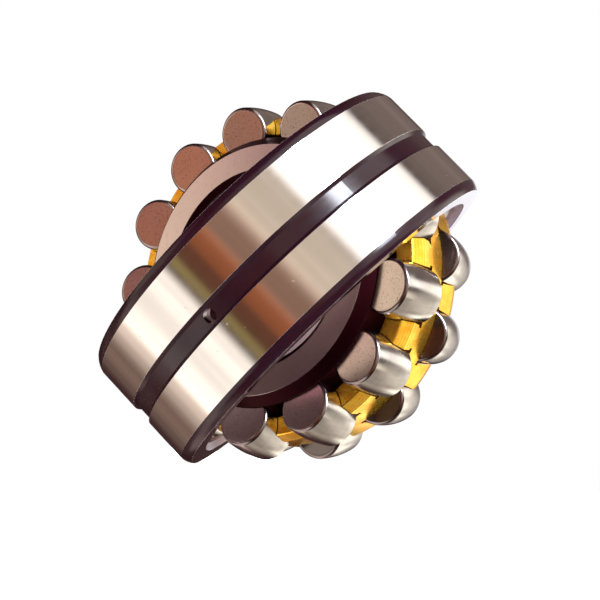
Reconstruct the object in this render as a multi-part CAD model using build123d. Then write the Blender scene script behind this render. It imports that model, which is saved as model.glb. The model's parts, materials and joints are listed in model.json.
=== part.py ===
from build123d import *
import math
import os

# Spherical roller bearing, 90 x 190 x 64 mm, with the outer ring swivelled open.
# Every piece is drawn with the bearing axis on +Z and then seated with that axis on -Y,
# so that row A faces -Y.  The origin is the centre of the spherical raceway.

# boundary dimensions
BORE_R = 45.0
OUTER_R = 95.0
HALF_WIDTH = 32.0

# rollers
ROLLERS_PER_ROW = 13
ROLLER_R = 13.2
ROLLER_HALF_LENGTH = 12.0
ROLLER_CORNER_RADIAL = 2.0
ROLLER_CORNER_AXIAL = 1.1
CONTACT_ANGLE = 12.6
PITCH_SPHERE_R = 73.2
ROW_A_PHASE = -5.7
ROW_B_LEAD = 1.7
GAP = 0.3

# outer ring
RACEWAY_SPHERE_R = PITCH_SPHERE_R + ROLLER_R + GAP
OUTER_CHAMFER_RADIAL = 2.2
OUTER_CHAMFER_AXIAL = 5.0
CHAMFER_CROWN = 0.3
MOUTH_R = 84.0
MOUTH_EDGE_R = 81.6
GROOVE_HALF_WIDTH = 5.2
GROOVE_FLOOR_HALF_WIDTH = 3.6
GROOVE_DEPTH = 1.6
OIL_HOLE_R = 3.0
OIL_HOLES = 3
OIL_HOLE_PHASE = -49.0
SWIVEL_AXIS = (-1, 0, -1)
SWIVEL_OPEN = 66.7

# inner ring
BORE_CHAMFER = 2.5
FACE_R = 58.9
RIB_R = 63.5
LAND_R = 63.8
LAND_HALF_WIDTH = 1.4

# guide ring, floating on the centre land of the inner ring
GUIDE_RING_IN_R = 64.05
GUIDE_RING_OUT_R = 67.2

# cage
CAGE_IN_R = 67.5
CAGE_OUT_R = 78.4
PRONG_A_TIP_R = 76.1
PRONG_A_BEND = 11.5
PRONG_A_END = 18.5
PRONG_B_TIP_R = 77.4
PRONG_B_BEND = 17.0
PRONG_B_END = 21.0
CAGE_EDGE = 0.5
POCKET_R = ROLLER_R + GAP
POCKET_RELIEF_R = POCKET_R + 0.9
POCKET_RELIEF_LENGTH = 2.0

COS_A = math.cos(math.radians(CONTACT_ANGLE))
SIN_A = math.sin(math.radians(CONTACT_ANGLE))
PITCH = 360.0 / ROLLERS_PER_ROW

STEEL_GREY = Color(0.62, 0.61, 0.60)
BRASS = Color(0.80, 0.60, 0.22)


def seat(shape):
    """Lay a piece drawn on +Z onto the bearing axis, which points along -Y."""
    return shape.rotate(Axis.X, 90)


def on_roller_line(along, out):
    """Profile point at a distance along and out from the roller centre (radius, axial)."""
    radius = PITCH_SPHERE_R * COS_A - along * SIN_A + out * COS_A
    axial = PITCH_SPHERE_R * SIN_A + along * COS_A + out * SIN_A
    return (radius, axial)


def end_plane_axial(radius, along):
    """Axial height, at a radius, of the plane square to the roller axis at a distance along."""
    foot_r, foot_z = on_roller_line(along, 0)
    return foot_z + (radius - foot_r) * SIN_A / COS_A


def outer_ring():
    side_r = OUTER_R - OUTER_CHAMFER_RADIAL
    land_z = HALF_WIDTH - OUTER_CHAMFER_AXIAL
    crown_r = OUTER_R - OUTER_CHAMFER_RADIAL / 2 + CHAMFER_CROWN
    crown_z = HALF_WIDTH - OUTER_CHAMFER_AXIAL / 2 + CHAMFER_CROWN
    mouth_z = math.sqrt(RACEWAY_SPHERE_R**2 - MOUTH_EDGE_R**2)
    groove_r = OUTER_R - GROOVE_DEPTH
    with BuildPart() as ring:
        with BuildSketch(Plane.XZ):
            with BuildLine():
                Polyline(
                    (OUTER_R, -land_z),
                    (OUTER_R, -GROOVE_HALF_WIDTH),
                    (groove_r, -GROOVE_FLOOR_HALF_WIDTH),
                    (groove_r, GROOVE_FLOOR_HALF_WIDTH),
                    (OUTER_R, GROOVE_HALF_WIDTH),
                    (OUTER_R, land_z),
                )
                ThreePointArc((OUTER_R, land_z), (crown_r, crown_z), (side_r, HALF_WIDTH))
                Polyline((side_r, HALF_WIDTH), (MOUTH_R, HALF_WIDTH), (MOUTH_EDGE_R, mouth_z))
                ThreePointArc((MOUTH_EDGE_R, mouth_z), (RACEWAY_SPHERE_R, 0), (MOUTH_EDGE_R, -mouth_z))
                Polyline((MOUTH_EDGE_R, -mouth_z), (MOUTH_R, -HALF_WIDTH), (side_r, -HALF_WIDTH))
                ThreePointArc((side_r, -HALF_WIDTH), (crown_r, -crown_z), (OUTER_R, -land_z))
            make_face()
        revolve(axis=Axis.Z)
    shape = ring.part
    for i in range(OIL_HOLES):
        angle = OIL_HOLE_PHASE + i * 360.0 / OIL_HOLES
        drill = Pos(90, 0, 0) * Rot(0, 90, 0) * Cylinder(OIL_HOLE_R, 24)
        shape = shape - Rot(0, 0, angle) * drill
    return seat(shape).rotate(Axis((0, 0, 0), SWIVEL_AXIS), SWIVEL_OPEN)


def inner_ring():
    flank = ROLLER_HALF_LENGTH + GAP
    race_out = -ROLLER_R - GAP
    sag = (flank - 0.9) ** 2 / (2 * (PITCH_SPHERE_R + ROLLER_R))
    race_outboard = on_roller_line(flank - 0.9, race_out + sag)
    race_middle = on_roller_line(0, race_out)
    race_inboard = on_roller_line(0.9 - flank, race_out + sag)
    relief_depth = race_out - 0.5
    outboard_relief = [on_roller_line(flank - 0.9, relief_depth), on_roller_line(flank, relief_depth)]
    rib_root = (RIB_R, end_plane_axial(RIB_R, flank))
    rib_tip = (RIB_R, end_plane_axial(RIB_R, flank) + 0.5)
    step_z = end_plane_axial(LAND_R - 3.5, -flank)
    with BuildPart() as ring:
        with BuildSketch(Plane.XZ):
            with BuildLine():
                Polyline(
                    (BORE_R, 0),
                    (BORE_R, HALF_WIDTH - BORE_CHAMFER),
                    (BORE_R + BORE_CHAMFER, HALF_WIDTH),
                    (FACE_R, HALF_WIDTH),
                    (RIB_R - 0.4, rib_tip[1] + 0.4),
                    rib_tip,
                    rib_root,
                    outboard_relief[1],
                    outboard_relief[0],
                    race_outboard,
                )
                ThreePointArc(race_outboard, race_middle, race_inboard)
                Polyline(
                    race_inboard,
                    (race_inboard[0], step_z),
                    (LAND_R - 0.3, LAND_HALF_WIDTH),
                    (LAND_R, LAND_HALF_WIDTH - 0.3),
                    (LAND_R, 0),
                    (BORE_R, 0),
                )
            make_face()
            mirror(about=Plane.XZ)
        revolve(axis=Axis.Z)
    return seat(ring.part)


def guide_ring():
    flank = -ROLLER_HALF_LENGTH - GAP
    bottom = end_plane_axial(GUIDE_RING_IN_R, flank)
    top = end_plane_axial(GUIDE_RING_OUT_R, flank)
    half = [
        (GUIDE_RING_IN_R, 0),
        (GUIDE_RING_IN_R, bottom - 0.3),
        (GUIDE_RING_IN_R + 0.3, bottom),
        (GUIDE_RING_OUT_R - 0.3, top),
        (GUIDE_RING_OUT_R, top - 0.3),
        (GUIDE_RING_OUT_R, 0),
    ]
    with BuildPart() as ring:
        with BuildSketch(Plane.XZ):
            with BuildLine():
                Polyline(*half, *[(r, -z) for r, z in reversed(half[1:-1])], close=True)
            make_face()
        revolve(axis=Axis.Z)
    return seat(ring.part)


def roller_blank():
    shoulder_z = ROLLER_HALF_LENGTH - ROLLER_CORNER_AXIAL
    shoulder_r = ROLLER_R - shoulder_z**2 / (2 * (PITCH_SPHERE_R + ROLLER_R))
    end_r = shoulder_r - ROLLER_CORNER_RADIAL
    corner_r = shoulder_r - 0.3 * ROLLER_CORNER_RADIAL
    corner_z = ROLLER_HALF_LENGTH - 0.3 * ROLLER_CORNER_AXIAL
    with BuildPart() as roller:
        with BuildSketch(Plane.XZ):
            with BuildLine():
                Line((0, -ROLLER_HALF_LENGTH), (end_r, -ROLLER_HALF_LENGTH))
                ThreePointArc((end_r, -ROLLER_HALF_LENGTH), (corner_r, -corner_z), (shoulder_r, -shoulder_z))
                ThreePointArc((shoulder_r, -shoulder_z), (ROLLER_R, 0), (shoulder_r, shoulder_z))
                ThreePointArc((shoulder_r, shoulder_z), (corner_r, corner_z), (end_r, ROLLER_HALF_LENGTH))
                Polyline(
                    (end_r, ROLLER_HALF_LENGTH),
                    (0, ROLLER_HALF_LENGTH),
                    (0, -ROLLER_HALF_LENGTH),
                )
            make_face()
        revolve(axis=Axis.Z)
    return roller.part


def roller_place(side, index):
    """Roller position in its row: row A is side +1, row B is side -1 and about half a pitch on."""
    start = ROW_A_PHASE if side > 0 else ROW_A_PHASE + PITCH / 2 + ROW_B_LEAD
    azimuth = math.radians(start + index * PITCH)
    out_x = math.cos(azimuth)
    out_y = math.sin(azimuth)
    centre = (
        PITCH_SPHERE_R * COS_A * out_x,
        PITCH_SPHERE_R * COS_A * out_y,
        side * PITCH_SPHERE_R * SIN_A,
    )
    axis = (-SIN_A * out_x, -SIN_A * out_y, side * COS_A)
    return Plane(origin=centre, x_dir=(-out_y, out_x, 0), z_dir=axis).location


def cage():
    with BuildPart() as blank:
        with BuildSketch(Plane.XZ):
            with BuildLine():
                Polyline(
                    (CAGE_OUT_R, PRONG_A_BEND),
                    (PRONG_A_TIP_R, PRONG_A_END - CAGE_EDGE),
                    (PRONG_A_TIP_R - CAGE_EDGE, PRONG_A_END),
                    (CAGE_IN_R + CAGE_EDGE, PRONG_A_END),
                    (CAGE_IN_R, PRONG_A_END - CAGE_EDGE),
                    (CAGE_IN_R, CAGE_EDGE - PRONG_B_END),
                    (CAGE_IN_R + CAGE_EDGE, -PRONG_B_END),
                    (PRONG_B_TIP_R - CAGE_EDGE, -PRONG_B_END),
                    (PRONG_B_TIP_R, CAGE_EDGE - PRONG_B_END),
                    (CAGE_OUT_R, -PRONG_B_BEND),
                    close=True,
                )
            make_face()
        revolve(axis=Axis.Z)
    floor = -ROLLER_HALF_LENGTH - GAP
    bottom_up = (Align.CENTER, Align.CENTER, Align.MIN)
    pocket = Pos(0, 0, floor) * Cylinder(POCKET_R, 40, align=bottom_up)
    pocket += Pos(0, 0, floor) * Cylinder(POCKET_RELIEF_R, POCKET_RELIEF_LENGTH, align=bottom_up)
    pockets = [
        roller_place(side, index) * pocket
        for side in (1, -1)
        for index in range(ROLLERS_PER_ROW)
    ]
    return seat(blank.part - pockets)


def save(shape, name, color):
    shape.label = name
    shape.color = color
    export_step(shape, "parts/" + name + ".step")


def main():
    os.makedirs("parts", exist_ok=True)
    save(outer_ring(), "outer_ring", STEEL_GREY)
    save(inner_ring(), "inner_ring", STEEL_GREY)
    save(guide_ring(), "guide_ring", STEEL_GREY)
    save(cage(), "cage", BRASS)
    blank = roller_blank()
    for row, side in (("a", 1), ("b", -1)):
        for index in range(ROLLERS_PER_ROW):
            roller = seat(roller_place(side, index) * blank)
            save(roller, f"roller_{row}_{index + 1:02d}", STEEL_GREY)


main()
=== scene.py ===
import json
import math

import bpy
from mathutils import Matrix, Vector

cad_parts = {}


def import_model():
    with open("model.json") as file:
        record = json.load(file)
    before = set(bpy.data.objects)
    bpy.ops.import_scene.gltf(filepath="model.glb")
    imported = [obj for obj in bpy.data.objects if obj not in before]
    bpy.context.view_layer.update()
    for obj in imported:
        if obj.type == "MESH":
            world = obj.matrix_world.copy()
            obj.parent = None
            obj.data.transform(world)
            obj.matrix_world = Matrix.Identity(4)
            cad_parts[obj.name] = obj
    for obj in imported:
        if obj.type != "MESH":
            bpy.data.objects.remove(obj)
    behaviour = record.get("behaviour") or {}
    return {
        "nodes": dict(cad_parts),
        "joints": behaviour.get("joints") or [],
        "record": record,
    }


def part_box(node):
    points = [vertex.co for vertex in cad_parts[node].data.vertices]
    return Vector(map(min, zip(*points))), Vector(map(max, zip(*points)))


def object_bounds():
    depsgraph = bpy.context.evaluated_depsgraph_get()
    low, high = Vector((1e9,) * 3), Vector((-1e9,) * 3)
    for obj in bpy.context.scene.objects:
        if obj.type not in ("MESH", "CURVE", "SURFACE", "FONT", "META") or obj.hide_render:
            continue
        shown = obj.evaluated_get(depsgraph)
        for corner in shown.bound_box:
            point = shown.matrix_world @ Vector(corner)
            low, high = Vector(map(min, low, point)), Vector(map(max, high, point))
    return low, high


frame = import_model()
CAD_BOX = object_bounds()
NODES = frame["nodes"]
MM = 0.001

# ---------------------------------------------------------------- the frame, in numbers
MOUNTS = {m["name"]: m for m in frame["record"]["mounts"]}
OUTER_AXIS = Vector(MOUNTS["outer_seat"]["axis"]).normalized()
OUTER_R = MOUNTS["outer_seat"]["dims"]["r_mm"] * MM
HALF_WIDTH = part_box("inner_ring")[1].y
BORE_AXIS = Vector((0, -1, 0))

# A pair of numbers is a soft step: a mask starts to change at the first and is done at the second.
EDGE = 0.05 * MM

# outer ring: heights from its middle plane, radii from its own axis
GROOVE_HALF = 5.2 * MM
LAND_HALF = 27.0 * MM
SIDE_FACE_R = 92.8 * MM
BELOW_LAND_R = (OUTER_R - 0.12 * MM, OUTER_R - 0.02 * MM)
GROOVE_FLOOR_R = (93.25 * MM, 93.32 * MM)
MOUTH_INNER_R = 81.6 * MM
MOUTH_OUTER_R = 84.0 * MM
MOUTH_HEIGHT = (29.0 * MM, 29.2 * MM)
RACEWAY_R = 90.0 * MM

# inner ring: heights from its middle plane, radii from the bore axis
BORE_CHAMFER_R = 47.5 * MM
DEEP_HEIGHT = (26.0 * MM, 27.5 * MM)
DEEP_R = (50.0 * MM, 51.0 * MM)

# rollers: distances from the middle, along the roller's axis
ROLLER_HALF = 12.0 * MM
ROLLER_CORNER = 1.1 * MM
ROLLER_FLAT = (ROLLER_HALF - 0.06 * MM, ROLLER_HALF - 0.02 * MM)
ROLLER_BEND = (ROLLER_HALF - ROLLER_CORNER, ROLLER_HALF - ROLLER_CORNER + 0.1 * MM)
# range over which painted shade darkens each roller's inboard end
ROLLER_INBOARD_SHADE = (-1.0 * MM, -9.0 * MM)

# ---------------------------------------------------------------- colours
# A pair of colours is a range that a cloud of noise moves between.
STEEL = ((0.80, 0.77, 0.74, 1), (0.72, 0.69, 0.66, 1))
RACEWAY = (0.54, 0.38, 0.42, 1)
SKIN = ((0.014, 0.0008, 0.0010, 1), (0.009, 0.0036, 0.0090, 1))
SKIN_IOR = 1.42
GROUND = ((0.82, 0.74, 0.71, 1), (0.69, 0.61, 0.59, 1))
GROUND_SPOT = (0.66, 0.56, 0.54, 1)
BORE_WALL = ((0.035, 0.004, 0.006, 1), (0.022, 0.004, 0.008, 1))
# painted shade: the inner ring's raceway zone between the ribs is coloured dark maroon
DEEP_PAINTED_SHADE = (0.080, 0.008, 0.010, 1)
BARREL = ((0.68, 0.66, 0.63, 1), (0.52, 0.50, 0.47, 1))
BARREL_STREAK = (0.40, 0.37, 0.35, 1)
ROLLER_END = ((0.76, 0.70, 0.63, 1), (0.60, 0.53, 0.48, 1))
# painted shade: the inboard roller ends are coloured near-black
ROLLER_END_INBOARD_PAINTED_SHADE = (0.08, 0.062, 0.058, 1)
ROLLER_PIT = (0.20, 0.12, 0.11, 1)
# painted shade: the rounded corner between barrel and end is coloured darker
ROLLER_BEND_PAINTED_SHADE = (0.16, 0.11, 0.12, 1)
BRASS = ((1.0, 0.60, 0.060, 1), (0.97, 0.45, 0.020, 1))
BRASS_BRIGHT = (1.0, 0.74, 0.15, 1)
BRASS_DARK = (0.84, 0.38, 0.012, 1)
GUIDE_STEEL = ((0.50, 0.47, 0.45, 1), (0.40, 0.38, 0.37, 1))
FLOOR_PAPER = ((0.95, 0.95, 0.95, 1), (0.98, 0.98, 0.98, 1))

# sockets of the Mix node, which share their names between its data types
COLOR_A, COLOR_B, COLOR_RESULT = 6, 7, 2
FLOAT_A, FLOAT_B, FLOAT_RESULT = 2, 3, 0


# ---------------------------------------------------------------- small node helpers
class Nodes:
    """A node tree with short ways to add maths, masks and mixes."""

    def __init__(self, tree):
        self.tree = tree
        self.tree.nodes.clear()

    def add(self, kind, **settings):
        node = self.tree.nodes.new(kind)
        for name, value in settings.items():
            setattr(node, name, value)
        return node

    def plug(self, value, socket):
        """Link a socket, or set a plain value; None leaves the socket as it is."""
        if isinstance(value, bpy.types.NodeSocket):
            self.tree.links.new(value, socket)
        elif value is not None:
            socket.default_value = value

    def math(self, operation, a, b=None, c=None):
        node = self.add("ShaderNodeMath", operation=operation)
        self.plug(a, node.inputs[0])
        self.plug(b, node.inputs[1])
        self.plug(c, node.inputs[2])
        return node.outputs[0]

    def times(self, a, b):
        return self.math("MULTIPLY", a, b)

    def line(self, value, slope, start):
        """start + slope * value."""
        return self.math("MULTIPLY_ADD", value, slope, start)

    def dot(self, vector, direction):
        node = self.add("ShaderNodeVectorMath", operation="DOT_PRODUCT")
        self.plug(vector, node.inputs[0])
        node.inputs[1].default_value = direction
        return node.outputs["Value"]

    def ramp(self, value, low, high, start=0.0, end=1.0):
        """A smooth step of value from low to high, going from start to end."""
        node = self.add("ShaderNodeMapRange", interpolation_type="SMOOTHSTEP")
        self.plug(value, node.inputs["Value"])
        self.plug(low, node.inputs["From Min"])
        self.plug(high, node.inputs["From Max"])
        self.plug(start, node.inputs["To Min"])
        self.plug(end, node.inputs["To Max"])
        return node.outputs["Result"]

    def above(self, value, limit):
        """1 above the limit and 0 below, with a soft edge."""
        return self.ramp(value, limit - EDGE, limit + EDGE)

    def below(self, value, limit):
        """1 below the limit and 0 above, with a soft edge."""
        return self.ramp(value, limit - EDGE, limit + EDGE, 1.0, 0.0)

    def mix(self, factor, a, b):
        """A mix of two colours."""
        node = self.add("ShaderNodeMix", data_type="RGBA")
        self.plug(factor, node.inputs["Factor"])
        self.plug(a, node.inputs[COLOR_A])
        self.plug(b, node.inputs[COLOR_B])
        return node.outputs[COLOR_RESULT]

    def blend(self, factor, a, b):
        """A mix of two numbers."""
        node = self.add("ShaderNodeMix", data_type="FLOAT")
        self.plug(factor, node.inputs["Factor"])
        self.plug(a, node.inputs[FLOAT_A])
        self.plug(b, node.inputs[FLOAT_B])
        return node.outputs[FLOAT_RESULT]

    def scaled(self, vector, scale):
        node = self.add("ShaderNodeVectorMath", operation="MULTIPLY")
        self.plug(vector, node.inputs[0])
        node.inputs[1].default_value = scale
        return node.outputs[0]

    def noise(self, vector, scale, detail=3.0, roughness=0.55):
        node = self.add("ShaderNodeTexNoise")
        self.plug(vector, node.inputs["Vector"])
        node.inputs["Scale"].default_value = scale
        node.inputs["Detail"].default_value = detail
        node.inputs["Roughness"].default_value = roughness
        return node.outputs["Fac"]

    def join(self, first, second=None):
        """A vector of one or two numbers; noise on it doesn't change in the other directions."""
        node = self.add("ShaderNodeCombineXYZ")
        self.plug(first, node.inputs[0])
        self.plug(second, node.inputs[1])
        return node.outputs[0]

    def turned(self, axis):
        """Position on a ring: distance along its axis, distance from it, and the turned vector."""
        place = self.add("ShaderNodeTexCoord").outputs["Object"]
        swing = Vector(axis).rotation_difference(Vector((0, 0, 1))).to_euler()
        spin = self.add("ShaderNodeMapping", vector_type="POINT")
        spin.inputs["Rotation"].default_value = swing
        self.plug(place, spin.inputs["Vector"])
        parts = self.add("ShaderNodeSeparateXYZ")
        self.plug(spin.outputs[0], parts.inputs[0])
        x, y, z = parts.outputs
        squares = self.math("MULTIPLY_ADD", y, y, self.times(x, x))
        return z, self.math("SQRT", squares), spin.outputs[0]


def new_material(name):
    material = bpy.data.materials.new(name)
    material.use_nodes = True
    return material, Nodes(material.node_tree)


def surface(nodes, color, metallic, roughness, relief=None, depth=0.0, strength=0.0, **fixed):
    """Shader and output of a material; relief is a bump, and depth its height in metres."""
    shader = nodes.add("ShaderNodeBsdfPrincipled")
    nodes.plug(color, shader.inputs["Base Color"])
    nodes.plug(metallic, shader.inputs["Metallic"])
    nodes.plug(roughness, shader.inputs["Roughness"])
    for name, value in fixed.items():
        shader.inputs[name.replace("_", " ")].default_value = value
    if relief is not None:
        bump = nodes.add("ShaderNodeBump")
        bump.inputs["Strength"].default_value = strength
        bump.inputs["Distance"].default_value = depth
        nodes.plug(relief, bump.inputs["Height"])
        nodes.plug(bump.outputs[0], shader.inputs["Normal"])
    out = nodes.add("ShaderNodeOutputMaterial")
    nodes.plug(shader.outputs[0], out.inputs["Surface"])


# ---------------------------------------------------------------- materials
def outer_ring_material():
    """Ground lands and faces, a plum-grey raceway, dark glossy skin in the groove and chamfers."""
    material, n = new_material("outer_ring_steel")
    axial, radial, place = n.turned(OUTER_AXIS)
    height = n.math("ABSOLUTE", axial)

    chamfer = n.times(n.above(height, LAND_HALF), n.above(radial, SIDE_FACE_R))
    sunk = n.ramp(radial, *BELOW_LAND_R, 1.0, 0.0)
    above_oil_holes = n.ramp(radial, *GROOVE_FLOOR_R)
    groove = n.times(n.below(height, GROOVE_HALF), n.times(sunk, above_oil_holes))
    dark = n.math("MAXIMUM", chamfer, groove)
    mouth = n.times(n.above(radial, MOUTH_INNER_R), n.below(radial, MOUTH_OUTER_R))
    mouth = n.times(mouth, n.ramp(height, *MOUTH_HEIGHT))
    raceway = n.times(
        n.ramp(radial, RACEWAY_R - EDGE, RACEWAY_R, 1.0, 0.0),
        n.ramp(height, HALF_WIDTH - 4 * EDGE, HALF_WIDTH - 3 * EDGE, 1.0, 0.0),
    )

    lay = n.join(axial, radial)
    lines = n.noise(lay, 2500.0, 2.0)
    bands = n.noise(lay, 420.0, 3.0)
    cloud = n.noise(place, 28.0, 3.0)
    smear = n.noise(n.scaled(place, (1.0, 1.0, 5.0)), 60.0, 4.0, 0.6)
    specks = n.ramp(n.noise(place, 300.0, 2.0, 0.6), 0.70, 0.78)

    skin = n.mix(smear, *SKIN)
    color = n.mix(n.times(raceway, 0.85), n.mix(cloud, *STEEL), RACEWAY)
    color = n.mix(dark, color, skin)
    color = n.mix(n.times(mouth, 0.3), color, skin)
    rough = n.line(smear, 0.06, n.line(bands, 0.04, 0.07))
    rough = n.line(specks, 0.20, rough)
    rough = n.blend(dark, rough, n.line(smear, 0.14, 0.10))
    rough = n.blend(raceway, rough, 0.30)
    metal = n.math("SUBTRACT", 1.0, n.math("MAXIMUM", dark, n.times(raceway, 0.4)))
    surface(n, color, metal, rough, lines, depth=0.002 * MM, strength=0.15, IOR=SKIN_IOR)
    return material


def inner_ring_material():
    """Ground end faces with a fine circular lay; the bore and ribs are coloured near-black, and
    the raceway zone between the ribs dark maroon as painted shade.
    """
    material, n = new_material("inner_ring_steel")
    axial, radial, place = n.turned(BORE_AXIS)
    height = n.math("ABSOLUTE", axial)

    face = n.times(
        n.ramp(height, HALF_WIDTH - 2 * EDGE, HALF_WIDTH - EDGE),
        n.ramp(radial, BORE_CHAMFER_R, BORE_CHAMFER_R + EDGE),
    )
    # the raceway zone between the ribs, which gets painted shade
    deep = n.times(n.ramp(height, *DEEP_HEIGHT, 1.0, 0.0), n.ramp(radial, *DEEP_R))

    lines = n.noise(n.join(axial, radial), 4000.0, 3.0)
    cloud = n.noise(place, 30.0, 4.0)
    spots = n.ramp(n.noise(place, 450.0, 4.0, 0.7), 0.50, 0.80)

    ground = n.mix(spots, n.mix(cloud, *GROUND), GROUND_SPOT)
    dark = n.mix(deep, n.mix(cloud, *BORE_WALL), DEEP_PAINTED_SHADE)
    rough = n.blend(face, 0.45, n.line(lines, 0.08, 0.16))
    metal = n.math("SUBTRACT", 1.0, n.times(deep, 0.8))
    surface(n, n.mix(face, dark, ground), metal, rough, lines, depth=0.004 * MM, strength=0.3)
    return material


def roller_material(name, joint):
    """Polished barrel with a lay round the roller's own axis, and lightly pitted ends; painted
    shade darkens the inboard ends and the rounded corners.
    """
    axis = Vector(joint["axis"]).normalized()
    outboard = 1.0 if name.startswith("roller_a") else -1.0
    material, n = new_material(name + "_steel")
    place = n.add("ShaderNodeTexCoord").outputs["Object"]
    shift = n.add("ShaderNodeVectorMath", operation="SUBTRACT")
    n.plug(place, shift.inputs[0])
    shift.inputs[1].default_value = Vector(joint["pos_m"])
    along = n.dot(shift.outputs[0], axis)
    height = n.math("ABSOLUTE", along)

    flat = n.ramp(height, *ROLLER_FLAT)
    # painted shade on the inboard end of each roller
    inboard_shade = n.ramp(n.times(along, outboard * -axis.y), *ROLLER_INBOARD_SHADE)
    bend = n.times(n.ramp(height, *ROLLER_BEND), n.math("SUBTRACT", 1.0, flat))

    lay = n.join(along)
    lines = n.noise(lay, 5000.0, 2.0)
    streaks = n.ramp(n.noise(n.scaled(lay, (0.4, 1, 1)), 900.0, 4.0, 0.7), 0.5, 0.7)
    grit = n.noise(place, 1500.0, 4.0, 0.7)
    cloud = n.noise(place, 120.0, 4.0, 0.6)
    wear = n.noise(place, 260.0, 5.0, 0.65)
    pits = n.times(n.ramp(n.noise(place, 1400.0, 1.0), 0.30, 0.40, 1.0, 0.0), flat)

    barrel = n.mix(n.times(streaks, 0.25), n.mix(cloud, *BARREL), BARREL_STREAK)
    end = n.mix(n.times(inboard_shade, 0.88), n.mix(cloud, *ROLLER_END), ROLLER_END_INBOARD_PAINTED_SHADE)
    color = n.mix(flat, barrel, end)
    color = n.mix(n.times(pits, 0.55), color, ROLLER_PIT)
    # painted shade on the rounded corner of each roller
    color = n.mix(n.times(bend, 0.75), color, ROLLER_BEND_PAINTED_SHADE)
    barrel_rough = n.line(wear, 0.22, n.line(lines, 0.05, 0.05))
    rough = n.blend(flat, barrel_rough, n.line(grit, 0.10, 0.14))
    relief = n.blend(flat, lines, n.math("SUBTRACT", grit, pits))
    surface(n, color, 1.0, rough, relief, depth=0.006 * MM, strength=0.2)
    return material


def cage_material():
    """Turned brass: brighter and darker circular tool lines over a slight colour change."""
    material, n = new_material("cage_brass")
    axial, radial, place = n.turned(BORE_AXIS)
    lines = n.noise(n.join(axial, radial), 1300.0, 3.0, 0.7)
    cloud = n.noise(n.scaled(place, (1.0, 1.6, 1.0)), 110.0, 2.0, 0.5)
    brass = n.mix(n.ramp(cloud, 0.35, 0.65), *BRASS)
    brass = n.mix(n.ramp(lines, 0.48, 0.72), brass, BRASS_BRIGHT)
    brass = n.mix(n.ramp(lines, 0.44, 0.30), brass, BRASS_DARK)
    rough = n.line(cloud, 0.22, 0.16)
    surface(n, brass, 0.96, rough, lines, depth=0.03 * MM, strength=0.4)
    return material


def guide_ring_material():
    """Plain turned steel."""
    material, n = new_material("guide_ring_steel")
    axial, radial, place = n.turned(BORE_AXIS)
    lines = n.noise(n.join(axial, radial), 3000.0, 3.0)
    color = n.mix(n.noise(place, 50.0), *GUIDE_STEEL)
    surface(n, color, 1.0, n.line(lines, 0.15, 0.3), lines, depth=0.01 * MM, strength=0.3)
    return material


def dress(node, material):
    mesh = NODES[node].data
    mesh.materials.clear()
    mesh.materials.append(material)


dress("outer_ring", outer_ring_material())
dress("inner_ring", inner_ring_material())
dress("guide_ring", guide_ring_material())
dress("cage", cage_material())
JOINTS = {j["child"]: j for j in frame["joints"]}
for node in sorted(NODES):
    if node.startswith("roller_"):
        dress(node, roller_material(node, JOINTS[node]))


# ---------------------------------------------------------------- studio
FLOOR_SIZE = 30.0
FLOOR_GAP = 0.2 * MM


def floor():
    low = CAD_BOX[0].z
    bpy.ops.mesh.primitive_plane_add(size=FLOOR_SIZE, location=(0, 0, low - FLOOR_GAP))
    plane = bpy.context.object
    plane.name = "floor"
    material, n = new_material("floor_paper")
    place = n.add("ShaderNodeTexCoord").outputs["Object"]
    color = n.mix(n.noise(place, 400.0, 2.0), *FLOOR_PAPER)
    surface(n, color, 0.0, 0.9, Emission_Color=(1, 1, 1, 1), Emission_Strength=0.85)
    plane.data.materials.append(material)
    plane.visible_glossy = False


# The outer ring's cylinder mirrors a circle of directions round its axis into the camera. Its
# middle line mirrors RING_ZERO, and the line at an angle a round the ring mirrors round_ring(2 a).
RING_ZERO = Vector((0.3786, -0.925, 0.0345))


def round_ring(degrees):
    """Direction on the mirrored circle, by angle from RING_ZERO."""
    turn = math.radians(degrees)
    return RING_ZERO * math.cos(turn) + OUTER_AXIS.cross(RING_ZERO) * math.sin(turn)


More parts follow.
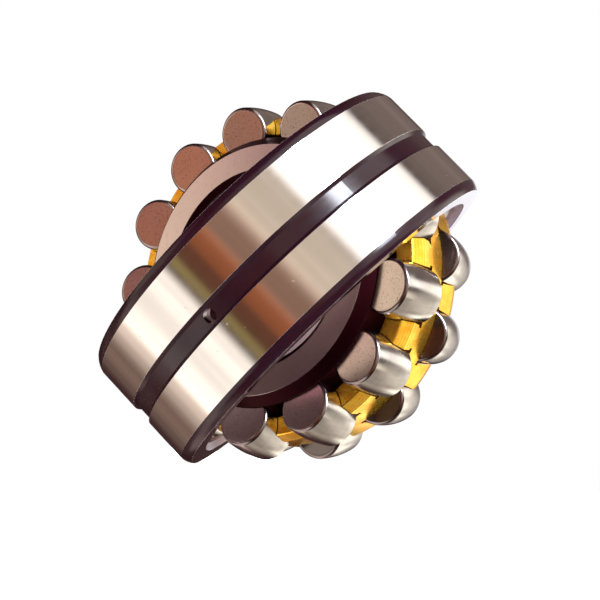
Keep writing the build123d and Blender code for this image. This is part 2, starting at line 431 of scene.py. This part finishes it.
# Soft boxes of the studio: name, direction, half size across and along the ring axis and edge
# softness (tangents of angles, 1.0 = 45 degrees), and colour.
SOFT_BOXES = [
    ("key", round_ring(-67), 0.58, 1.0, 0.10, (1.5, 1.45, 1.38)),
    ("key_core", round_ring(-55), 0.09, 0.45, 0.05, (34.0, 36.0, 40.0)),
    ("card", round_ring(-19), 0.23, 0.9, 0.14, (0.74, 0.63, 0.50)),
    ("card_edge", round_ring(4), 0.15, 0.8, 0.10, (0.31, 0.18, 0.12)),
    ("orange", round_ring(19), 0.085, 0.30, 0.06, (0.34, 0.095, 0.024)),
    ("brown", round_ring(30), 0.085, 0.30, 0.06, (0.085, 0.026, 0.004)),
    ("olive", round_ring(39), 0.035, 0.35, 0.05, (0.31, 0.25, 0.08)),
    ("orange_left", (-0.37, -0.93, 0.0), 0.11, 0.11, 0.28, (0.62, 0.24, 0.145)),
    ("violet_left", (-0.30, -0.92, 0.24), 0.10, 0.10, 0.12, (0.10, 0.050, 0.080)),
    ("paper", round_ring(68), 0.38, 0.45, 0.10, (1.35, 1.27, 1.15)),
    ("paper_fade", round_ring(93), 0.11, 0.9, 0.28, (0.88, 0.75, 0.64)),
    ("under", round_ring(115), 0.35, 0.9, 0.35, (0.17, 0.12, 0.09)),
    ("under_left", (-0.47, 0.22, -0.84), 0.40, 0.13, 0.10, (0.80, 0.62, 0.60)),
    ("low_left", (-0.78, -0.58, -0.20), 0.25, 0.25, 0.25, (0.45, 0.36, 0.30)),
    ("left", (-0.827, -0.541, 0.149), 0.34, 0.15, 0.03, (0.86, 0.71, 0.55)),
    ("plum", (-0.66, -0.66, 0.36), 0.12, 0.10, 0.06, (0.66, 0.27, 0.37)),
    ("top_back", round_ring(-130), 0.40, 0.6, 0.35, (0.17, 0.145, 0.125)),
    ("behind", (-0.29, 0.945, 0.15), 0.13, 0.15, 0.10, (0.86, 0.89, 0.95)),
    ("behind_right", (0.55, 0.80, -0.22), 0.45, 0.45, 0.25, (0.55, 0.51, 0.44)),
    ("back", (0.203, 0.966, -0.152), 0.58, 0.33, 0.10, (0.40, 0.38, 0.35)),
    ("prong_high", (0.40, 0.87, 0.29), 0.17, 0.12, 0.12, (0.95, 0.90, 0.80)),
    ("prong_middle", (0.43, 0.88, -0.21), 0.17, 0.17, 0.12, (0.95, 0.91, 0.82)),
    ("prong_low", (0.02, 0.865, -0.51), 0.20, 0.16, 0.10, (1.30, 1.22, 1.05)),
    ("right_low", (0.90, 0.27, -0.34), 0.14, 0.14, 0.10, (1.15, 1.05, 0.85)),
    ("right", (0.67, 0.69, 0.26), 0.24, 0.17, 0.12, (1.25, 1.19, 1.10)),
    ("low_right", (0.32, 0.55, -0.77), 0.45, 0.50, 0.35, (0.42, 0.38, 0.32)),
]
ROOM = (0.062, 0.030, 0.030, 1)
# cosines to a soft box's direction between which it starts to show
IN_FRONT = (0.02, 0.10)
CREASE_SCALE = 8.0
CREASE_STRENGTH = (0.80, 1.18)


def soft_box(n, view, direction, across, along, soft):
    """1 inside a rectangular patch of sky, falling to 0 over its soft edge."""
    front = Vector(direction).normalized()
    side = OUTER_AXIS.cross(front).normalized()
    up = front.cross(side)
    ahead = n.dot(view, front)
    safe = n.math("MAXIMUM", ahead, IN_FRONT[0])
    masks = []
    for tangent, half in ((side, across), (up, along)):
        slope = n.math("ABSOLUTE", n.math("DIVIDE", n.dot(view, tangent), safe))
        masks.append(n.ramp(slope, half - soft / 2, half + soft, 1.0, 0.0))
    return n.times(n.ramp(ahead, *IN_FRONT), n.times(*masks))


def creases(n, view):
    """Slightly uneven light, in folds that run along the outer ring's axis."""
    across = OUTER_AXIS.orthogonal().normalized()
    other = OUTER_AXIS.cross(across)
    fold = n.join(n.dot(view, across), n.dot(view, other))
    return n.ramp(n.noise(fold, CREASE_SCALE, 4.0, 0.6), 0.30, 0.70, *CREASE_STRENGTH)


def world():
    """White to the camera; a dim room with soft boxes to everything else."""
    sky = bpy.data.worlds.new("studio")
    bpy.context.scene.world = sky
    sky.use_nodes = True
    n = Nodes(sky.node_tree)
    view = n.add("ShaderNodeTexCoord").outputs["Generated"]
    total = ROOM
    for name, direction, across, along, soft, tint in SOFT_BOXES:
        glow = n.add("ShaderNodeMix", data_type="RGBA", blend_type="ADD", label=name)
        patch = soft_box(n, view, direction, across, along, soft)
        n.plug(patch, glow.inputs["Factor"])
        n.plug(total, glow.inputs[COLOR_A])
        n.plug((*tint, 1.0), glow.inputs[COLOR_B])
        total = glow.outputs[COLOR_RESULT]
    lit = n.add("ShaderNodeBackground")
    n.plug(total, lit.inputs["Color"])
    n.plug(creases(n, view), lit.inputs["Strength"])
    white = n.add("ShaderNodeBackground")
    white.inputs["Color"].default_value = (1, 1, 1, 1)
    path = n.add("ShaderNodeLightPath")
    choose = n.add("ShaderNodeMixShader")
    n.plug(path.outputs["Is Camera Ray"], choose.inputs[0])
    n.plug(lit.outputs[0], choose.inputs[1])
    n.plug(white.outputs[0], choose.inputs[2])
    out = n.add("ShaderNodeOutputWorld")
    n.plug(choose.outputs[0], out.inputs["Surface"])


floor()
world()
bpy.context.scene.view_settings.view_transform = "Standard"

# ---------------------------------------------------------------- camera
CAMERA_PLACE = Vector((0.31646, -0.45629, -0.08449))
CAMERA_TARGET = Vector((0.00393, 0.00409, -0.00850))
CAMERA_ROLL = math.radians(6.26)
CAMERA_LENS_MM = 69.98
CAMERA_SENSOR_MM = 36.0


def camera():
    lens = bpy.data.cameras.new("camera")
    lens.lens = CAMERA_LENS_MM
    lens.sensor_width = CAMERA_SENSOR_MM
    lens.clip_start = 0.01
    lens.clip_end = 50.0
    eye = bpy.data.objects.new("camera", lens)
    bpy.context.scene.collection.objects.link(eye)
    aim = (CAMERA_TARGET - CAMERA_PLACE).to_track_quat("-Z", "Y").to_matrix().to_4x4()
    roll = Matrix.Rotation(CAMERA_ROLL, 4, "Z")
    eye.matrix_world = Matrix.Translation(CAMERA_PLACE) @ aim @ roll
    bpy.context.scene.camera = eye


camera()
